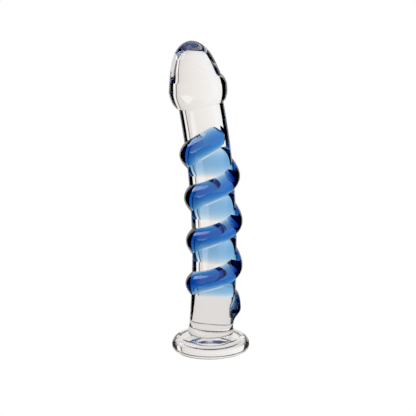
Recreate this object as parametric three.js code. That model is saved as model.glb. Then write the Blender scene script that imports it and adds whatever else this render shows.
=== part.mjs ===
// A solid glass dildo, hand-worked in borosilicate glass: a gently bowed clear rod with a formed
// head, a blue glass cane wound round it, and a flared round foot that it stands on.
//
// Millimetres, +Z up. The origin is the centre of the foot's flat underside. The rod bows in the
// XZ plane: a little towards +X at mid-height, then towards -X at the head.

import * as THREE from "three";

// ---- Driving dimensions ---------------------------------------------------------------------

const rodTop = 177.5; // height of the head's crown, measured up the centreline
const fusedGap = 0.3; // clearance left where two pieces of glass are fused together

// The centreline's sideways offsets, at control points spaced evenly from the ground to the neck.
// From the neck up it runs straight on.
const bowOffsets = [-0.9, 3.9, 3.3, -5.4];

const footRadius = 22.0;
const footFlatRadius = 18.0; // the ground flat that it stands on
const footWidestHeight = 3.5;
const footShoulderRadius = 16.5; // where the rounded edge meets the sloping top
const footShoulderHeight = 9.1;
const footTopHeight = 9.9; // the top of the slope, under the collar
const footHollowOut = 2.0; // the slope hollows towards a point this far out from the collar
const footHollowUp = 0.3; // and this far above the shoulder

const collarRadius = 13.0;
const collarBulge = 0.9; // how far its rounded side stands out from its flat faces
const collarTop = 14.0;

const neckHeight = 141.9; // where the rod ends and the head begins
const neckRadius = 12.65;
const rodRootRadius = 12.5; // the rod just above the collar

const rimHeight = 151.5; // the widest part of the head
const rimRadius = 16.35;
const domeRadius = 14.7; // the crown is half an ellipsoid, this wide
const domeRise = 24.5; // and this tall
const domeTaper = THREE.MathUtils.degToRad(15); // lean of the head's side where it meets the crown
const foldDepth = 0.07; // how far the crown is set in above its fold, as a part of its radius
const foldLow = 155.0; // the fold's height on the +X side
const foldHigh = 170.5; // and on the -X side, where it fades away
const foldSpread = 1.35; // how quickly it climbs between them
const foldWidth = 1.0;

const helixPitch = 25.2;
const helixFoot = 26.2; // the winding's height where it crosses the +X side, run down to there
const helixLift = 5.0; // the lowest half turn flattens out, to this much above it
const helixRise = 2.5; // the last third of a turn steepens by this much
const helixStartAngle = 25; // in degrees round the rod from +X, where the drop joins the winding
const caneTopAngle = 4 * 360 - 46; // and where the cane ends
const caneEndRounding = 6.0; // length of the cane's blunt, rounded upper end
const caneEndTrim = 0.05; // the very end of it is left square
const tailLength = 17.5; // the drop at the lower end, up to its narrowest point
const caneSagHeight = 0.45; // as a part of its height, the cane is this much higher on the -Y side
const caneSagWidth = 0.12; // and narrower, and as much lower and wider on the +Y side
const caneStations = [
  // distance along the cane from its lower tip, half width, and how far it stands off the rod
  { distance: 0, halfWidth: 0.3, standOff: 0.5 },
  { distance: 2.5, halfWidth: 1.2, standOff: 1.2 },
  { distance: 9.5, halfWidth: 4.8, standOff: 3.8 },
  { distance: tailLength, halfWidth: 3.2, standOff: 2.6 },
  { distance: 34, halfWidth: 4.5, standOff: 3.1 },
  { distance: 60, halfWidth: 7.0, standOff: 3.4 },
  { distance: 360, halfWidth: 7.2, standOff: 3.5 },
];
// The drop's path: degrees round the rod from +X, and height.
const tailPoints = [[-31, 17.4], [-27.5, 20], [-25, 22.8], [-22.5, 25.6], [-17, 28.8], [-5, 31.2]];

// How finely the round surfaces are faceted.
const footSides = 48;
const rodSides = 40;
const caneSides = 14;
const rodRings = 28;
const footDivisions = 4; // steps to each curve of the foot's and the collar's outlines
const headDivisions = 7; // and of the head's
const caneRingSpacing = 2.7;
const tailRingSpacing = 1.2;

// ---- Materials ------------------------------------------------------------------------------

const clearGlass = () => new THREE.MeshStandardMaterial({ color: 0xe6e9ea, roughness: 0.04, metalness: 0 });
const blueGlass = () => new THREE.MeshStandardMaterial({ color: 0x1e6ebe, roughness: 0.04, metalness: 0 });

// ---- The bowed rod's own frame ---------------------------------------------------------------

const bow = new THREE.CubicBezierCurve3(
  ...bowOffsets.map((offset, i) => new THREE.Vector3(offset, 0, (neckHeight * i) / 3)),
);

// Radius of the rod at a height: it narrows towards the foot, faster the lower it gets.
function rodRadius(height) {
  const down = THREE.MathUtils.clamp((neckHeight - height) / (neckHeight - collarTop), 0, 1);
  return neckRadius - (neckRadius - rodRootRadius) * down ** 3;
}

// A point given by its height up the centreline, its distance out and its angle round it. The
// foot is level, and the collar takes up the rod's lean between its lower and upper faces.
function pointOnRod(height, distanceOut, angle) {
  const along = Math.min(height / neckHeight, 1);
  const centre = bow.getPoint(along);
  const direction = bow.getTangent(along);
  centre.addScaledVector(direction, (height - centre.z) / direction.z);
  const share = THREE.MathUtils.clamp((height - footTopHeight) / (collarTop - footTopHeight), 0, 1);
  const lean = Math.atan2(direction.x, direction.z) * share;
  const sideways = distanceOut * Math.cos(angle);
  return centre.add(new THREE.Vector3(
    sideways * Math.cos(lean),
    distanceOut * Math.sin(angle),
    -sideways * Math.sin(lean),
  ));
}

// Moves every vertex of a geometry to the place that a rule gives for it.
function reshape(geometry, rule) {
  const position = geometry.getAttribute("position");
  for (let i = 0; i < position.count; i++) {
    const place = rule(new THREE.Vector3().fromBufferAttribute(position, i));
    position.setXYZ(i, place.x, place.y, place.z);
  }
  geometry.computeVertexNormals();
  return geometry;
}

// Turns an outline round the Z axis. The outline's x is a radius and its y a height.
const turned = (points, sides) => new THREE.LatheGeometry(points, sides).rotateX(Math.PI / 2);

// Bends an upright turned shape along the centreline, with an optional change to its radius.
function bowed(geometry, radiusFactor = () => 1) {
  return reshape(geometry, (point) => {
    const angle = Math.atan2(point.y, point.x);
    const distanceOut = Math.hypot(point.x, point.y) * radiusFactor(point.z, angle);
    return pointOnRod(point.z, distanceOut, angle);
  });
}

// ---- Clear glass ----------------------------------------------------------------------------

function footGeometry() {
  const outline = new THREE.Path();
  const edge = footRadius - footFlatRadius;
  const shoulder = footRadius - footShoulderRadius;
  const shoulderRise = footShoulderHeight - footWidestHeight;
  outline.moveTo(0, 0).lineTo(footFlatRadius, 0);
  outline.absellipse(footFlatRadius, footWidestHeight, edge, footWidestHeight, -Math.PI / 2, 0);
  outline.absellipse(footShoulderRadius, footWidestHeight, shoulder, shoulderRise, 0, Math.PI / 2);
  outline.quadraticCurveTo(
    collarRadius + footHollowOut, footShoulderHeight + footHollowUp,
    collarRadius - collarBulge, footTopHeight,
  );
  outline.lineTo(0, footTopHeight);
  return turned(outline.getPoints(footDivisions), footSides);
}

function collarGeometry() {
  const bottom = footTopHeight + fusedGap;
  const faceRadius = collarRadius - collarBulge;
  const outline = new THREE.Path();
  outline.moveTo(0, bottom).lineTo(faceRadius, bottom);
  outline.absellipse(faceRadius, (bottom + collarTop) / 2, collarBulge, (collarTop - bottom) / 2,
    -Math.PI / 2, Math.PI / 2);
  outline.lineTo(0, collarTop);
  return bowed(turned(outline.getPoints(footDivisions), rodSides));
}

function rodGeometry() {
  const bottom = collarTop + fusedGap;
  const top = neckHeight - fusedGap / 2;
  const outline = [new THREE.Vector2(0, bottom)];
  for (let i = 0; i <= rodRings; i++) {
    const height = THREE.MathUtils.lerp(bottom, top, i / rodRings);
    outline.push(new THREE.Vector2(rodRadius(height), height));
  }
  outline.push(new THREE.Vector2(0, top));
  return bowed(turned(outline, rodSides));
}

// The crown is set in a little above a fold that climbs from the +X side to the -X side.
function crownSetBack(height, angle) {
  const climb = (1 - Math.cos(Math.min(foldSpread * Math.abs(angle), Math.PI))) / 2;
  const foldHeight = THREE.MathUtils.lerp(foldLow, foldHigh, climb);
  const above = THREE.MathUtils.smoothstep(height, foldHeight - foldWidth / 2, foldHeight + foldWidth / 2);
  const strength = (1 + Math.cos(angle)) / 2;
  return 1 - foldDepth * strength * above;
}

function headGeometry() {
  const bottom = neckHeight + fusedGap / 2;
  const domeCentre = rodTop - domeRise;
  // The crown begins where its own side leans by the taper.
  const domeStart = Math.atan((domeRise / domeRadius) * Math.tan(domeTaper));
  const sideTop = new THREE.Vector2(
    domeRadius * Math.cos(domeStart),
    domeCentre + domeRise * Math.sin(domeStart),
  );
  // The side runs straight down from there until it reaches the rim's radius.
  const sideFoot = sideTop.y - (rimRadius - sideTop.x) / Math.tan(domeTaper);
  const outline = new THREE.Path();
  outline.moveTo(0, bottom).lineTo(neckRadius, bottom);
  outline.absellipse(neckRadius, rimHeight, rimRadius - neckRadius, rimHeight - bottom, -Math.PI / 2, 0);
  outline.quadraticCurveTo(rimRadius, sideFoot, sideTop.x, sideTop.y);
  outline.absellipse(0, domeCentre, domeRadius, domeRise, domeStart, Math.PI / 2);
  return bowed(turned(outline.getPoints(headDivisions), rodSides), crownSetBack);
}

// ---- Blue cane ------------------------------------------------------------------------------

// The cane's path on the rod's unrolled surface: x is the distance round the rod from +X, at the
// neck's radius, and y is the height. The drop hangs on the -Y side of +X; the helix follows it.
function canePath() {
  const points = [...tailPoints];
  const step = 30;
  const steepening = 120;
  for (let degrees = helixStartAngle; degrees < caneTopAngle + step; degrees += step) {
    const lift = helixLift * (1 - THREE.MathUtils.smoothstep(degrees, 0, 180));
    const rise = helixRise * THREE.MathUtils.smoothstep(degrees, caneTopAngle - steepening, caneTopAngle);
    points.push([degrees, helixFoot + (helixPitch * degrees) / 360 + lift + rise]);
  }
  const path = new THREE.SplineCurve(points.map(([degrees, height]) => (
    new THREE.Vector2(neckRadius * THREE.MathUtils.degToRad(degrees), height)
  )));
  path.arcLengthDivisions = 2000;
  return path;
}

const path = canePath();
const pathLength = path.getLength();

// The cane ends where its path passes the angle of its upper end.
function caneLength() {
  const overshoot = path.getPointAt(1).x - neckRadius * THREE.MathUtils.degToRad(caneTopAngle);
  return pathLength - overshoot / path.getTangentAt(1).x;
}

const caneEnd = caneLength();

// Half width and thickness of the cane at a distance along it and an angle round the rod, with its
// upper end rounded off.
function caneSection(distance, angle) {
  const after = caneStations.findIndex((station) => station.distance > distance);
  const upper = caneStations[after];
  const lower = caneStations[after - 1];
  const share = THREE.MathUtils.smoothstep(distance, lower.distance, upper.distance);
  const left = THREE.MathUtils.clamp((caneEnd - distance) / caneEndRounding, 0, 1);
  const rounding = Math.sqrt(1 - (1 - left) ** 2);
  const front = -Math.sin(angle);
  const halfWidth = THREE.MathUtils.lerp(lower.halfWidth, upper.halfWidth, share);
  const standOff = THREE.MathUtils.lerp(lower.standOff, upper.standOff, share);
  return {
    halfWidth: halfWidth * rounding * (1 - caneSagWidth * front),
    thickness: standOff * Math.sqrt(rounding) * (1 + caneSagHeight * front) - fusedGap,
  };
}

// A stretch of the cane: a round bar of unit radius, laid along the path with its section pressed
// into a low arch, a parabola, whose flat side follows the rod.
function caneGeometry(from, to, ringSpacing) {
  const rings = Math.ceil((to - from) / ringSpacing);
  const outline = [new THREE.Vector2(0, from)];
  for (let i = 0; i <= rings; i++) {
    outline.push(new THREE.Vector2(1, THREE.MathUtils.lerp(from, to, i / rings)));
  }
  outline.push(new THREE.Vector2(0, to));
  return reshape(new THREE.LatheGeometry(outline, caneSides), (point) => {
    const along = point.y / pathLength;
    const place = path.getPointAt(along);
    const direction = path.getTangentAt(along);
    const { halfWidth, thickness } = caneSection(point.y, place.x / neckRadius);
    const chord = Math.sqrt(Math.max(0, 1 - point.x ** 2));
    const out = fusedGap + (thickness * chord * (point.z + chord)) / 2;
    place.x += direction.y * halfWidth * point.x;
    place.y -= direction.x * halfWidth * point.x;
    return pointOnRod(place.y, rodRadius(place.y) + out, place.x / neckRadius);
  });
}

// ---- The object -----------------------------------------------------------------------------

const object = new THREE.Group();

function addPiece(name, geometry, material) {
  const mesh = new THREE.Mesh(geometry, material);
  mesh.name = name;
  object.add(mesh);
}

addPiece("foot", footGeometry(), clearGlass());
addPiece("foot_collar", collarGeometry(), clearGlass());
addPiece("shaft", rodGeometry(), clearGlass());
addPiece("head", headGeometry(), clearGlass());
const caneTop = caneEnd - caneEndTrim;
addPiece("spiral", caneGeometry(tailLength + fusedGap, caneTop, caneRingSpacing), blueGlass());
addPiece("spiral_tail", caneGeometry(0, tailLength, tailRingSpacing), blueGlass());

export default object;
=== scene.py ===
"""Looks for the glass dildo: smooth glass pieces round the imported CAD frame, and a photo studio.

Every piece is rebuilt as a fine, smooth mesh from the same driving dimensions as the CAD part.
Lengths in the shape code are millimetres, and MM turns them into Blender's metres.
"""
import math

import bpy
import mathutils
import numpy as np
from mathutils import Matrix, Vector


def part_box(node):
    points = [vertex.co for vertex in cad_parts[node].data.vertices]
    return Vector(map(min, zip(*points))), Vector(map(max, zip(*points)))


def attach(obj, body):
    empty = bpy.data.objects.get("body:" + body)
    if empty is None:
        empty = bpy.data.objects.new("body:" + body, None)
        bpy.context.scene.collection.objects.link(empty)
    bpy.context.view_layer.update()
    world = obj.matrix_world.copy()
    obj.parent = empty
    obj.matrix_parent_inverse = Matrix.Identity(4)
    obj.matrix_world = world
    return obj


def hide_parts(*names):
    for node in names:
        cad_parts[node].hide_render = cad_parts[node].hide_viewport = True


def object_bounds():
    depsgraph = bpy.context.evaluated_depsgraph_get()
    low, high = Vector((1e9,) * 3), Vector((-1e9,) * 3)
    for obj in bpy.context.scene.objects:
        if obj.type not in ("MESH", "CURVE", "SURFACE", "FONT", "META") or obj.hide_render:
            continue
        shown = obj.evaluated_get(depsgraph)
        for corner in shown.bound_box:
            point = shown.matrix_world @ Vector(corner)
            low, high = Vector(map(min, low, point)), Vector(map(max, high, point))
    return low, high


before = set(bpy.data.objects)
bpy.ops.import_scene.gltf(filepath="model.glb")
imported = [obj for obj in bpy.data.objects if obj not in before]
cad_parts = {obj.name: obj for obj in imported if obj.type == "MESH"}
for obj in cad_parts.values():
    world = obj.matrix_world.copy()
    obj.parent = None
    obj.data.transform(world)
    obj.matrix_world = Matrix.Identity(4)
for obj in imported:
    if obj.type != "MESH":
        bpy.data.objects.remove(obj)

CAD_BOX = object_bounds()
MM = 0.001
FULL_TURN = 2 * math.pi

# ---- Sizes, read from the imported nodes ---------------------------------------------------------


def box_mm(node):
    """The node's lowest and highest corners, in millimetres."""
    low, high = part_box(node)
    return np.array(low) / MM, np.array(high) / MM


FOOT_LOW, FOOT_HIGH = box_mm("foot")
COLLAR_LOW, COLLAR_HIGH = box_mm("foot_collar")

FOOT_RADIUS = (FOOT_HIGH[0] - FOOT_LOW[0]) / 2
FOOT_TOP = FOOT_HIGH[2]
COLLAR_RADIUS = (COLLAR_HIGH[1] - COLLAR_LOW[1]) / 2

# ---- Driving dimensions that the boxes don't give, as in the CAD part --------------------------

ROD_TOP = 177.5  # height of the crown, measured up the centreline
BOW_OFFSETS = (-0.9, 3.9, 3.3, -5.4)  # the centreline's sideways control offsets, up to the neck
FOOT_FLAT_RADIUS = FOOT_RADIUS - 4.0
FOOT_WIDEST_HEIGHT = 3.5
FOOT_SHOULDER_RADIUS = FOOT_RADIUS - 5.5
FOOT_SHOULDER_HEIGHT = 9.1
FOOT_HOLLOW_OUT, FOOT_HOLLOW_UP = 2.0, 0.3  # the slope hollows towards this point, by the collar
COLLAR_BULGE = 0.9
COLLAR_TOP = 14.0
NECK_HEIGHT = 141.9
NECK_RADIUS = 12.65
ROD_ROOT_RADIUS = 12.5
RIM_HEIGHT = 151.5
RIM_RADIUS = 16.35
DOME_RADIUS, DOME_RISE = 14.7, 24.5
DOME_TAPER = math.radians(15)
FOLD_DEPTH, FOLD_WIDTH = 0.07, 1.0  # how far the crown is set in, as a share, and over what height
FOLD_LOW, FOLD_HIGH = 155.0, 170.5  # the fold's heights at the +X side and at the -X side
FOLD_SPREAD = 1.35  # it is at the upper one after half a turn divided by this
HELIX_PITCH, HELIX_FOOT = 25.2, 26.2
HELIX_LIFT, LIFT_SPAN = 5.0, 180  # the lower end is lifted by so much, fading over so many degrees
HELIX_RISE, RISE_SPAN = 2.5, 120  # and the upper end rises so much more over so many degrees
HELIX_START_ANGLE, CANE_TOP_ANGLE = 25, 4 * 360 - 46
PATH_STEP = 30  # degrees between the points of the path
CANE_END_ROUNDING = 6.0  # the length of the rounded upper end
CANE_SAG_HEIGHT = 0.45  # how much higher the cane is at the front, and lower at the back
CANE_SAG_WIDTH = 0.12  # and how much narrower, and wider
FUSED_DEPTH = 0.1  # how far fused pieces reach into each other, so that no air is left between

# A profile row is (radius, height, fused), where fused is above 0 on a surface that a neighbour's
# glass covers. A covered face has a narrow ring along its edge, SEAM_WIDTH wide.
OPEN, SEAM, COVERED = -1, 0, 1
SEAM_WIDTH = 0.3
SEAM_EDGE = 0.1  # the mark on the outer edge of a covered face
FOOT_SIDES, ROD_SIDES = 192, 224

# Distance along the cane from its lower tip, half width, and how far it stands off the rod.
CANE_STATIONS = np.array([
    (0, 0.3, 0.5),
    (2.5, 1.2, 1.2),
    (9.5, 4.8, 3.8),
    (17.5, 3.2, 2.6),
    (34, 4.5, 3.1),
    (60, 7.0, 3.4),
    (360, 7.2, 3.5),
])
TAIL_POINTS = ((-31, 17.4), (-27.5, 20), (-25, 22.8), (-22.5, 25.6), (-17, 28.8), (-5, 31.2))

# ---- The bowed rod's own frame -----------------------------------------------------------------


def smoothstep(value, low, high):
    share = np.clip((value - low) / (high - low), 0, 1)
    return share * share * (3 - 2 * share)


def centreline(height):
    """Sideways offset of the bowed centreline at a height, and its lean as an angle."""
    t = np.minimum(height / NECK_HEIGHT, 1)
    a, b, c, d = BOW_OFFSETS
    offset = (1 - t) ** 3 * a + 3 * (1 - t) ** 2 * t * b + 3 * (1 - t) * t ** 2 * c + t ** 3 * d
    slope = 3 * ((1 - t) ** 2 * (b - a) + 2 * (1 - t) * t * (c - b) + t ** 2 * (d - c)) / NECK_HEIGHT
    offset = offset + slope * np.maximum(height - NECK_HEIGHT, 0)
    share = np.clip((height - FOOT_TOP) / (COLLAR_TOP - FOOT_TOP), 0, 1)
    return offset, np.arctan(slope) * share


def rod_radius(height):
    down = np.clip((NECK_HEIGHT - height) / (NECK_HEIGHT - COLLAR_TOP), 0, 1)
    return NECK_RADIUS - (NECK_RADIUS - ROD_ROOT_RADIUS) * down ** 3


def hand_worked(height, angle):
    """A few hundredths of a millimetre of slow drift in a radius, from working the glass by hand."""
    drift = np.sin(2 * angle + height / 13 + 0.7) + 0.8 * np.sin(3 * angle - height / 9 + 2.1)
    return drift * 0.035


def point_on_rod(height, distance_out, angle):
    offset, lean = centreline(height)
    sideways = distance_out * np.cos(angle)
    return np.stack([
        offset + sideways * np.cos(lean),
        distance_out * np.sin(angle) * np.ones_like(height),
        height - sideways * np.sin(lean),
    ], axis=-1)


# ---- Mesh building -----------------------------------------------------------------------------


def ring_mesh(name, points, fused):
    """A closed mesh from rings of points, shaped (rings, sides, 3). The first and last rings are
    single points on the surface's poles. fused is above 0 where a neighbour's glass covers it."""
    rings, sides = points.shape[:2]
    inner = points[1:-1].reshape(-1, 3)
    vertices = np.vstack([points[0, :1], inner, points[-1, :1]])
    last = len(vertices) - 1
    start = np.arange(sides)
    after = np.roll(start, -1)
    faces = [(0, 1 + b, 1 + a) for a, b in zip(start, after)]
    for ring in range(rings - 3):
        low = 1 + ring * sides
        high = low + sides
        faces += [(low + a, low + b, high + b, high + a) for a, b in zip(start, after)]
    top = 1 + (rings - 3) * sides
    faces += [(top + a, top + b, last) for a, b in zip(start, after)]
    mesh = bpy.data.meshes.new(name)
    mesh.from_pydata((vertices * MM).tolist(), [], faces)
    mesh.shade_smooth()
    values = np.concatenate([fused[0, :1], fused[1:-1].ravel(), fused[-1, :1]])
    layer = mesh.attributes.new("fused", "FLOAT", "POINT")
    layer.data.foreach_set("value", values.astype(np.float32))
    piece = bpy.data.objects.new(name, mesh)
    bpy.context.scene.collection.objects.link(piece)
    return piece


def point_upright(height, distance_out, angle):
    return np.stack([distance_out * np.cos(angle), distance_out * np.sin(angle), height], axis=-1)


def turned_mesh(name, profile, sides, radius_factor=None, cover=None, place=point_on_rod):
    """A lathe shape from profile rows, which run from pole to pole."""
    profile = np.array(profile)
    angle = np.arange(sides) * FULL_TURN / sides
    radius, height, fused = (profile[:, i:i + 1] * np.ones(sides) for i in range(3))
    angle = angle * np.ones_like(height)
    if radius_factor is not None:
        radius = radius * radius_factor(height, angle)
    drift = hand_worked(height, angle) * smoothstep(radius, 0, NECK_RADIUS)
    points = place(height, radius + drift * (fused < 0), angle)
    if cover is not None:
        fused = np.maximum(fused, cover(height, angle))
    return ring_mesh(name, points, fused)


def line(start, end, steps):
    """Profile rows along a straight line, without its first point."""
    radii, heights = (np.linspace(a, b, steps + 1)[1:] for a, b in zip(start, end))
    return [(radius, height, OPEN) for radius, height in zip(radii, heights)]


def ellipse(centre, radii, start, end, steps):
    """Profile rows along part of an ellipse, without its first point. Angles in degrees."""
    angles = np.radians(start + (end - start) * np.arange(1, steps + 1) / steps)
    x, y = centre[0] + radii[0] * np.cos(angles), centre[1] + radii[1] * np.sin(angles)
    return [(radius, height, OPEN) for radius, height in zip(x, y)]


def bend_curve(start, control, end, steps):
    """Profile rows along a quadratic curve, without its first point."""
    rows = []
    for i in range(1, steps + 1):
        t = i / steps
        weights = ((1 - t) ** 2, 2 * (1 - t) * t, t * t)
        radius, height = (sum(w * p[k] for w, p in zip(weights, (start, control, end))) for k in (0, 1))
        rows.append((radius, height, OPEN))
    return rows


# ---- Clear glass -------------------------------------------------------------------------------


def make_foot():
    collar_face = COLLAR_RADIUS - COLLAR_BULGE
    edge = (FOOT_RADIUS - FOOT_FLAT_RADIUS, FOOT_WIDEST_HEIGHT)
    shoulder = (FOOT_RADIUS - FOOT_SHOULDER_RADIUS, FOOT_SHOULDER_HEIGHT - FOOT_WIDEST_HEIGHT)
    rows = [(0, 0, OPEN)]
    rows += line((0, 0), (FOOT_FLAT_RADIUS, 0), steps=12)
    rows += ellipse((FOOT_FLAT_RADIUS, FOOT_WIDEST_HEIGHT), edge, -90, 0, steps=24)
    rows += ellipse((FOOT_SHOULDER_RADIUS, FOOT_WIDEST_HEIGHT), shoulder, 0, 90, steps=24)
    rows += bend_curve((FOOT_SHOULDER_RADIUS, FOOT_SHOULDER_HEIGHT),
                       (COLLAR_RADIUS + FOOT_HOLLOW_OUT, FOOT_SHOULDER_HEIGHT + FOOT_HOLLOW_UP),
                       (collar_face, FOOT_TOP), steps=24)
    rows[-1] = (collar_face, FOOT_TOP, SEAM)
    rows += [(collar_face - SEAM_WIDTH, FOOT_TOP, COVERED), (0, FOOT_TOP, COVERED)]
    return turned_mesh("foot_glass", rows, FOOT_SIDES, place=point_upright)


def make_collar():
    face = COLLAR_RADIUS - COLLAR_BULGE
    bottom = FOOT_TOP - FUSED_DEPTH
    middle = (FOOT_TOP + COLLAR_TOP) / 2
    bulge = (COLLAR_BULGE, (COLLAR_TOP - FOOT_TOP) / 2)
    taper = 0.01  # so that its lower edge lies inside the foot's glass
    rows = [(0, bottom, COVERED), (face - SEAM_WIDTH, bottom, COVERED)]
    rows += [(face - taper, bottom, SEAM_EDGE), (face, FOOT_TOP, SEAM)]
    rows += ellipse((face, middle), bulge, -90, 90, steps=32)
    rows += line((face, COLLAR_TOP), (ROD_ROOT_RADIUS, COLLAR_TOP), steps=2)
    rows[-1] = (ROD_ROOT_RADIUS, COLLAR_TOP, SEAM)
    rows += [(ROD_ROOT_RADIUS - SEAM_WIDTH, COLLAR_TOP, COVERED), (0, COLLAR_TOP, COVERED)]
    return turned_mesh("foot_collar_glass", rows, FOOT_SIDES)


def make_rod():
    bottom = COLLAR_TOP - FUSED_DEPTH
    top = NECK_HEIGHT + FUSED_DEPTH / 2
    rows = [(0, bottom, COVERED), (ROD_ROOT_RADIUS - SEAM_WIDTH, bottom, COVERED)]
    rows.append((ROD_ROOT_RADIUS, bottom, SEAM_EDGE))
    steps = 384
    heights = np.linspace(COLLAR_TOP, top - FUSED_DEPTH, steps + 1)
    side = [(rod_radius(height), height, OPEN) for height in heights]
    for end in (0, -1):
        side[end] = (*side[end][:2], SEAM)
    rows += side
    rows += [(NECK_RADIUS, top, SEAM_EDGE), (NECK_RADIUS - SEAM_WIDTH, top, COVERED), (0, top, COVERED)]
    return turned_mesh("shaft_glass", rows, ROD_SIDES, cover=cane_cover)


def crown_set_back(height, angle):
    """The crown is set in above a fold that climbs from the +X side to the -X side."""
    turned = np.abs((angle + math.pi) % FULL_TURN - math.pi)
    climb = (1 - np.cos(np.minimum(FOLD_SPREAD * turned, math.pi))) / 2
    fold = FOLD_LOW + (FOLD_HIGH - FOLD_LOW) * climb
    above = smoothstep(height, fold - FOLD_WIDTH / 2, fold + FOLD_WIDTH / 2)
    return 1 - FOLD_DEPTH * (1 + np.cos(angle)) / 2 * above


def make_head():
    bottom = NECK_HEIGHT - FUSED_DEPTH / 2
    dome_centre = ROD_TOP - DOME_RISE
    dome_start = math.atan(DOME_RISE / DOME_RADIUS * math.tan(DOME_TAPER))
    side_top = (DOME_RADIUS * math.cos(dome_start), dome_centre + DOME_RISE * math.sin(dome_start))
    side_foot = side_top[1] - (RIM_RADIUS - side_top[0]) / math.tan(DOME_TAPER)
    start = NECK_HEIGHT + FUSED_DEPTH / 2
    taper = 0.02  # so that its lower edge lies inside the rod's glass
    face = NECK_RADIUS - taper
    rows = [(0, bottom, COVERED), (face - SEAM_WIDTH, bottom, COVERED)]
    rows += [(face, bottom, SEAM_EDGE), (NECK_RADIUS, start, SEAM)]
    flare = (RIM_RADIUS - NECK_RADIUS, RIM_HEIGHT - start)
    rows += ellipse((NECK_RADIUS, RIM_HEIGHT), flare, -90, 0, steps=44)
    rows += bend_curve((RIM_RADIUS, RIM_HEIGHT), (RIM_RADIUS, side_foot), side_top, steps=64)
    rows += ellipse((0, dome_centre), (DOME_RADIUS, DOME_RISE), math.degrees(dome_start), 90, steps=60)
    return turned_mesh("head_glass", rows, ROD_SIDES, radius_factor=crown_set_back)


# ---- Blue cane ---------------------------------------------------------------------------------


def cane_path_points():
    """The cane's path on the rod's unrolled surface: distance round at the neck's radius, height."""
    degrees = np.arange(HELIX_START_ANGLE, CANE_TOP_ANGLE + PATH_STEP, PATH_STEP)
    lift = HELIX_LIFT * (1 - smoothstep(degrees, 0, LIFT_SPAN))
    rise = HELIX_RISE * smoothstep(degrees, CANE_TOP_ANGLE - RISE_SPAN, CANE_TOP_ANGLE)
    helix = np.stack([degrees, HELIX_FOOT + HELIX_PITCH * degrees / 360 + lift + rise], axis=1)
    points = np.vstack([np.array(TAIL_POINTS, float), helix])
    points[:, 0] = NECK_RADIUS * np.radians(points[:, 0])
    return points


def spline(points, per_span):
    """A uniform Catmull-Rom curve through the points."""
    padded = np.vstack([points[:1], points, points[-1:]])
    t = (np.arange(per_span) / per_span)[:, None]
    spans = []
    for i in range(len(points) - 1):
        p0, p1, p2, p3 = padded[i:i + 4]
        spans.append(0.5 * (2 * p1 + (p2 - p0) * t + (2 * p0 - 5 * p1 + 4 * p2 - p3) * t ** 2
                            + (3 * p1 - p0 - 3 * p2 + p3) * t ** 3))
    return np.vstack(spans + [points[-1:]])


def cane_stretch(step):
    """Places, directions and distances along the cane, one every step millimetres, and its length."""
    curve = spline(cane_path_points(), 60)
    lengths = np.concatenate([[0], np.cumsum(np.hypot(*np.diff(curve, axis=0).T))])
    end = float(np.interp(NECK_RADIUS * math.radians(CANE_TOP_ANGLE), curve[:, 0], lengths))
    distance = np.append(np.arange(0, end, step), end)
    place = np.stack([np.interp(distance, lengths, curve[:, k]) for k in (0, 1)], axis=1)
    direction = np.gradient(place, distance, axis=0)
    direction /= np.linalg.norm(direction, axis=1, keepdims=True)
    return place, direction, distance, end


def cane_section(distance, end, angle):
    """The cane's half width and how far it stands off the rod, with a hand-wound unevenness, a
    rounded top end and the sag from front to back."""
    after = np.searchsorted(CANE_STATIONS[:, 0], distance, side="right")
    after = np.clip(after, 1, len(CANE_STATIONS) - 1)
    low, high = CANE_STATIONS[after - 1], CANE_STATIONS[after]
    share = smoothstep(distance, low[:, 0], high[:, 0])
    half_width = low[:, 1] + (high[:, 1] - low[:, 1]) * share
    stand_off = low[:, 2] + (high[:, 2] - low[:, 2]) * share
    left = np.clip((end - distance) / CANE_END_ROUNDING, 0, 1)
    rounding = np.sqrt(1 - (1 - left) ** 2)
    uneven = 1 + 0.035 * np.sin(distance / 17 + 1.0) + 0.02 * np.sin(distance / 7.3 + 0.4)
    front = -np.sin(angle)
    half_width = half_width * rounding * uneven * (1 - CANE_SAG_WIDTH * front)
    stand_off = stand_off * np.sqrt(rounding) * (2 - uneven) * (1 + CANE_SAG_HEIGHT * front)
    return half_width, stand_off


def cane_cover(height, angle):
    """How far inside the cane's footprint each point of the rod's surface lies, in millimetres."""
    place, _, distance, end = cane_stretch(0.15)
    half_width, _ = cane_section(distance, end, place[:, 0] / NECK_RADIUS)
    margin = 2.0
    cover = np.full(height.shape, -margin)
    heights, angles = height[:, 0], angle[0]
    round_rod = NECK_RADIUS * FULL_TURN
    for (x, y), reach in zip(place, half_width):
        near = reach + margin
        rows = slice(*(np.searchsorted(heights[1:-1], (y - near, y + near)) + 1))
        across = (NECK_RADIUS * angles - x + round_rod / 2) % round_rod - round_rod / 2
        columns = np.nonzero(np.abs(across) < near)[0]
        gap = reach - np.hypot(across[columns][None, :], heights[rows][:, None] - y)
        block = cover[rows]
        block[:, columns] = np.maximum(block[:, columns], gap)
    return cover


def make_cane():
    place, direction, distance, end = cane_stretch(0.5)
    half_width, stand_off = cane_section(distance, end, place[:, 0] / NECK_RADIUS)
    over, under = np.linspace(0, math.pi, 33), np.linspace(-1, 1, 15)
    across = np.concatenate([np.cos(over), under])
    up = np.concatenate([np.sin(over) ** 2, np.zeros_like(under)])
    below = np.concatenate([np.zeros_like(over), np.full_like(under, FUSED_DEPTH)])
    lateral = np.stack([direction[:, 1], -direction[:, 0]], axis=1)
    flat = place[:, None, :] + lateral[:, None, :] * (half_width[:, None] * across)[:, :, None]
    out = stand_off[:, None] * up - below
    points = point_on_rod(flat[..., 1], rod_radius(flat[..., 1]) + out, flat[..., 0] / NECK_RADIUS)
    return ring_mesh("spiral_glass", points[:, ::-1], -out[:, ::-1])


# ---- Materials ---------------------------------------------------------------------------------

GLASS_IOR = 1.47  # borosilicate


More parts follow.
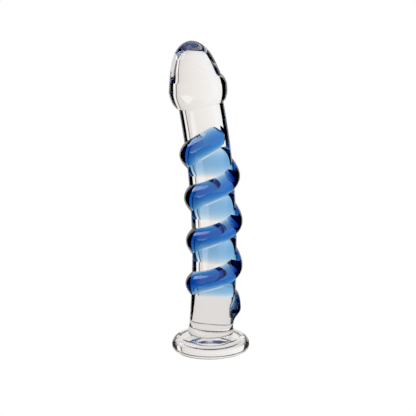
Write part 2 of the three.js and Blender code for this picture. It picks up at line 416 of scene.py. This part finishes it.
def glass_material(name, ripple_scale, ripple_height):
    """Fire-polished glass. Where the attribute "fused" is above 0, the surface lies inside a
    neighbouring piece of glass, so it has no boundary there: its IOR is 1."""
    material = bpy.data.materials.new(name)
    material.use_nodes = True
    nodes, links = material.node_tree.nodes, material.node_tree.links
    shader = nodes["Principled BSDF"]
    shader.inputs["Roughness"].default_value = 0.0
    shader.inputs["Transmission Weight"].default_value = 1.0
    shader.inputs["IOR"].default_value = GLASS_IOR

    fused = nodes.new("ShaderNodeAttribute")
    fused.attribute_name = "fused"
    inside = nodes.new("ShaderNodeMath")
    inside.operation = "GREATER_THAN"
    inside.inputs[1].default_value = 0.0
    links.new(fused.outputs["Fac"], inside.inputs[0])
    index = nodes.new("ShaderNodeMath")
    index.operation = "MULTIPLY_ADD"
    index.inputs[1].default_value = 1.0 - GLASS_IOR
    index.inputs[2].default_value = GLASS_IOR
    links.new(inside.outputs[0], index.inputs[0])
    links.new(index.outputs[0], shader.inputs["IOR"])

    place = nodes.new("ShaderNodeTexCoord")
    ripple = nodes.new("ShaderNodeTexNoise")
    ripple.inputs["Scale"].default_value = ripple_scale
    ripple.inputs["Detail"].default_value = 1.0
    links.new(place.outputs["Object"], ripple.inputs["Vector"])
    bump = nodes.new("ShaderNodeBump")
    bump.inputs["Strength"].default_value = 1.0
    bump.inputs["Distance"].default_value = ripple_height
    links.new(ripple.outputs["Fac"], bump.inputs["Height"])
    links.new(bump.outputs["Normal"], shader.inputs["Normal"])
    return material


def clear_glass_material():
    material = glass_material("clear_glass", 55, 0.00006)
    shader = material.node_tree.nodes["Principled BSDF"]
    shader.inputs["Base Color"].default_value = (0.985, 0.985, 0.98, 1)
    return material


def blue_glass_material():
    material = glass_material("blue_glass", 60, 0.00002)
    nodes, links = material.node_tree.nodes, material.node_tree.links
    nodes["Principled BSDF"].inputs["Base Color"].default_value = (0.97, 0.98, 1.0, 1)
    absorb = nodes.new("ShaderNodeVolumeAbsorption")
    absorb.inputs["Color"].default_value = (0.03, 0.54, 0.865, 1)
    absorb.inputs["Density"].default_value = 700.0
    links.new(absorb.outputs["Volume"], nodes["Material Output"].inputs["Volume"])
    return material


# ---- Pieces ------------------------------------------------------------------------------------


def add_piece(piece, material, slot, *nodes):
    piece.data.materials.append(material)
    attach(piece, "root")
    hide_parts(*nodes)


clear = clear_glass_material()
blue = blue_glass_material()
add_piece(make_foot(), clear, "clear_glass", "foot")
add_piece(make_collar(), clear, "clear_glass", "foot_collar")
add_piece(make_rod(), clear, "clear_glass", "shaft")
add_piece(make_head(), clear, "clear_glass", "head")
add_piece(make_cane(), blue, "blue_glass", "spiral", "spiral_tail")

# ---- Studio ------------------------------------------------------------------------------------

scene = bpy.context.scene
LOW, HIGH = (np.array(corner) for corner in CAD_BOX)
MIDDLE = (LOW + HIGH) / 2
SEEN_WHITE = (1.0, 1.0, 1.0)
SEEN_THROUGH_GLASS = (0.80, 0.775, 0.765)  # the same surroundings, a little greyer in the glass
MIX_A, MIX_B = 6, 7  # the Mix node's two colour sockets
PANEL_LOW, PANEL_HIGH = 0.001, 0.5  # the lower and upper edges of the studio's upright panels


def emission_material(name, colour, strength=1.0):
    material = bpy.data.materials.new(name)
    material.use_nodes = True
    nodes, links = material.node_tree.nodes, material.node_tree.links
    nodes.remove(nodes["Principled BSDF"])
    glow = nodes.new("ShaderNodeEmission")
    glow.inputs["Color"].default_value = (*colour, 1)
    glow.inputs["Strength"].default_value = strength
    links.new(glow.outputs[0], nodes["Material Output"].inputs["Surface"])
    return material


def two_tone(tree, output):
    """White where the camera looks straight at it, and a soft warm grey to every other ray."""
    nodes, links = tree.nodes, tree.links
    path = nodes.new("ShaderNodeLightPath")
    mix = nodes.new("ShaderNodeMix")
    mix.data_type = "RGBA"
    mix.inputs[MIX_A].default_value = (*SEEN_THROUGH_GLASS, 1)
    mix.inputs[MIX_B].default_value = (*SEEN_WHITE, 1)
    links.new(path.outputs["Is Camera Ray"], mix.inputs[0])
    links.new(mix.outputs[2], output)


def flat_patch(x_from, x_to, y_from, y_to, height=PANEL_LOW):
    corners = [(x_from, y_from), (x_to, y_from), (x_to, y_to), (x_from, y_to)]
    return [(x, y, height) for x, y in corners]


def floor_wing(inner, inner_back, outer, outer_back, front):
    """A patch of floor beside the object, whose back edge runs outwards and away."""
    ends = [(inner, front), (inner, inner_back), (outer, outer_back), (outer, front)]
    return [(x, y, PANEL_LOW) for x, y in ends]


def upright_panel(start, end, high=PANEL_HIGH):
    """The corners of an upright panel over a line on the floor."""
    return [(*start, PANEL_LOW), (*end, PANEL_LOW), (*end, high), (*start, high)]


def circle(radius, height, sides=48):
    angles = np.arange(sides) * FULL_TURN / sides
    return [(radius * math.cos(a), radius * math.sin(a), height) for a in angles]


def make_world():
    world = bpy.data.worlds.new("studio")
    scene.world = world
    world.use_nodes = True
    two_tone(world.node_tree, world.node_tree.nodes["Background"].inputs["Color"])


def make_floor():
    mesh = bpy.data.meshes.new("floor")
    reach, gap_below_foot = 3.0, 0.0002
    corners = flat_patch(-reach, reach, -reach, reach, LOW[2] - gap_below_foot)
    mesh.from_pydata(corners, [], [(0, 1, 2, 3)])
    floor = bpy.data.objects.new("floor", mesh)
    scene.collection.objects.link(floor)
    material = emission_material("floor", SEEN_WHITE)
    two_tone(material.node_tree, material.node_tree.nodes["Emission"].inputs["Color"])
    mesh.materials.append(material)


def make_camera():
    data = bpy.data.cameras.new("camera")
    camera = bpy.data.objects.new("camera", data)
    scene.collection.objects.link(camera)
    scene.camera = camera
    distance, elevation = 1.1, math.radians(13)
    frame_width = 0.2337  # how much the picture spans at the aim
    data.sensor_width = 36
    data.lens = data.sensor_width * distance / frame_width
    aim = np.array([-0.0015, 0, 0.083])
    camera.location = aim + distance * np.array([0, -math.cos(elevation), math.sin(elevation)])
    camera.rotation_euler = (math.pi / 2 - elevation, 0, 0)
    data.clip_start, data.clip_end = 0.01, 20
    return camera


def make_rig(camera):
    """An upright axis through the object that turns to face the camera, to carry the flags."""
    rig = bpy.data.objects.new("rig", None)
    scene.collection.objects.link(rig)
    rig.location = (MIDDLE[0], MIDDLE[1], LOW[2])
    follow = rig.constraints.new("LOCKED_TRACK")
    follow.target = camera
    follow.track_axis = "TRACK_NEGATIVE_Y"
    follow.lock_axis = "LOCK_Z"
    return rig


def rig_panel(rig, name, corners, material, glossy=True, transmission=True, faces=None):
    """A flat panel of the set: the glass sees it, but the camera and the shadows don't."""
    mesh = bpy.data.meshes.new(name)
    mesh.from_pydata(corners, [], faces or [tuple(range(len(corners)))])
    mesh.materials.append(material)
    panel = bpy.data.objects.new(name, mesh)
    scene.collection.objects.link(panel)
    panel.parent = rig
    panel.visible_camera = panel.visible_diffuse = panel.visible_shadow = False
    panel.visible_glossy, panel.visible_transmission = glossy, transmission
    return panel


def backdrop_material():
    """A lit card: brighter towards the camera's left, with a dark and a white stripe at the right."""
    material = emission_material("backdrop", (1, 1, 1))
    nodes, links = material.node_tree.nodes, material.node_tree.links
    place = nodes.new("ShaderNodeTexCoord")
    split = nodes.new("ShaderNodeSeparateXYZ")
    links.new(place.outputs["Generated"], split.inputs[0])
    ramp = nodes.new("ShaderNodeValToRGB")
    stops = ((0, 1), (0.18, 1), (0.42, 0.91), (0.60, 0.86), (0.80, 0.81), (0.82, 0.81),
             (0.825, 0.1), (0.855, 0.1), (0.86, 1), (1, 1))
    for position, _ in stops[1:-1]:
        ramp.color_ramp.elements.new(position)
    for stop, (_, level) in zip(ramp.color_ramp.elements, stops):
        grey = 1 - level
        stop.color = (level, level * (1 - 0.33 * grey), level * (1 - 0.60 * grey), 1)
    links.new(split.outputs["X"], ramp.inputs["Fac"])
    links.new(ramp.outputs["Color"], nodes["Emission"].inputs["Color"])
    return material


def make_flags(rig):
    """A lit card behind the object, and black flags beside it that give the glass its dark edges."""
    black = emission_material("flag_black", (0, 0, 0), 0)
    side, front, back = 0.095, -0.3, 0.12  # the card's half width, and how far the floor is black
    flag_front, face_side = -0.03, 0.17  # where the side flags stop, and the front flag's half width
    outer, outer_front, outer_back, outer_high = 0.6, -0.1, 0.76, 1.5
    foot_side, foot_back, foot_front = 0.026, 0.03, -0.0225  # the black floor stays clear of the foot
    for sign, word in ((-1, "left"), (1, "right")):
        flag = upright_panel((sign * side, flag_front), (sign * side, back))
        rig_panel(rig, f"flag_{word}", flag, black, glossy=False)
        outer_flag = upright_panel((sign * outer, outer_front), (sign * outer, outer_back), outer_high)
        rig_panel(rig, f"outer_flag_{word}", outer_flag, black, transmission=False)
        outer_wing = floor_wing(sign * foot_side, foot_back, sign * outer, outer_back, outer_front)
        rig_panel(rig, f"outer_flag_floor_{word}", outer_wing, black, transmission=False)
        wing = floor_wing(sign * foot_side, foot_back, sign * side, back, front)
        rig_panel(rig, f"flag_floor_{word}", wing, black)
    rig_panel(rig, "flag_floor_front", flat_patch(-foot_side, foot_side, front, foot_front), black)
    face = upright_panel((-face_side, front), (face_side, front))
    rig_panel(rig, "flag_front", face, black, glossy=False)
    card = upright_panel((-side, back), (side, back))
    rig_panel(rig, "backdrop", card, backdrop_material(), glossy=False)


def make_painted_shade_under_foot(rig):
    """Painted shade by the foot: a black ring, a painted contact shadow where its edge meets the table,
    which the camera sees too, and inside that a navy patch of painted shade and painted blue light,
    standing in for what comes down through the blue glass."""
    height = -0.0001  # between the foot's underside and the floor
    painted_shade_radius, shadow_inner, shadow_outer = 0.0115, 0.0165, 0.0188
    # Painted shade and painted blue light: an emitting navy disc under the foot, seen only through the
    # glass.
    painted_patch = emission_material("painted_blue_light_and_shade", (0.018, 0.018, 0.16))
    rig_panel(rig, "painted_blue_light_and_shade", circle(painted_shade_radius, height), painted_patch, glossy=False)
    inner, outer = circle(shadow_inner, height), circle(shadow_outer, height)
    sides = len(inner)
    ring = [(i, sides + i, sides + (i + 1) % sides, (i + 1) % sides) for i in range(sides)]
    # Painted shadow: a black ring on the table round the foot's edge, seen by the camera and through
    # the glass.
    shadow = emission_material("foot_shadow", (0, 0, 0), 0)
    panel = rig_panel(rig, "foot_shadow", inner + outer, shadow, glossy=False, faces=ring)
    panel.visible_camera = True


def make_softbox(rig):
    """A long softbox at the camera's left, which climbs towards the camera and draws a streak of
    light along each turn of the cane, and a painted pool of light on the table below it."""
    start, end = mathutils.Vector((-0.58, 0.33, 0.33)), mathutils.Vector((-0.42, -0.22, 0.66))
    aim = mathutils.Vector((0, 0, 0.09)) - (start + end) / 2
    across = (end - start).cross(aim).normalized() * 0.12
    corners = [start - across, end - across, end + across, start + across]
    white = emission_material("softbox", (0.90, 0.93, 1.0), 4.5)
    rig_panel(rig, "softbox", corners, white, transmission=False)
    # Painted pool of light: an emitting patch on the table, seen only in the glass's reflections.
    glow = emission_material("painted_pool_of_light", (0.85, 0.92, 1.0), 3.5)
    painted_patch = flat_patch(x_from=-0.36, x_to=-0.12, y_from=-0.34, y_to=-0.10, height=0.002)
    rig_panel(rig, "painted_pool_of_light", painted_patch, glow, transmission=False)


make_world()
make_floor()
rig = make_rig(make_camera())
make_flags(rig)
make_painted_shade_under_foot(rig)
make_softbox(rig)
scene.view_settings.view_transform = "Standard"
scene.cycles.max_bounces = 40
scene.cycles.transmission_bounces = 40
scene.cycles.glossy_bounces = 12
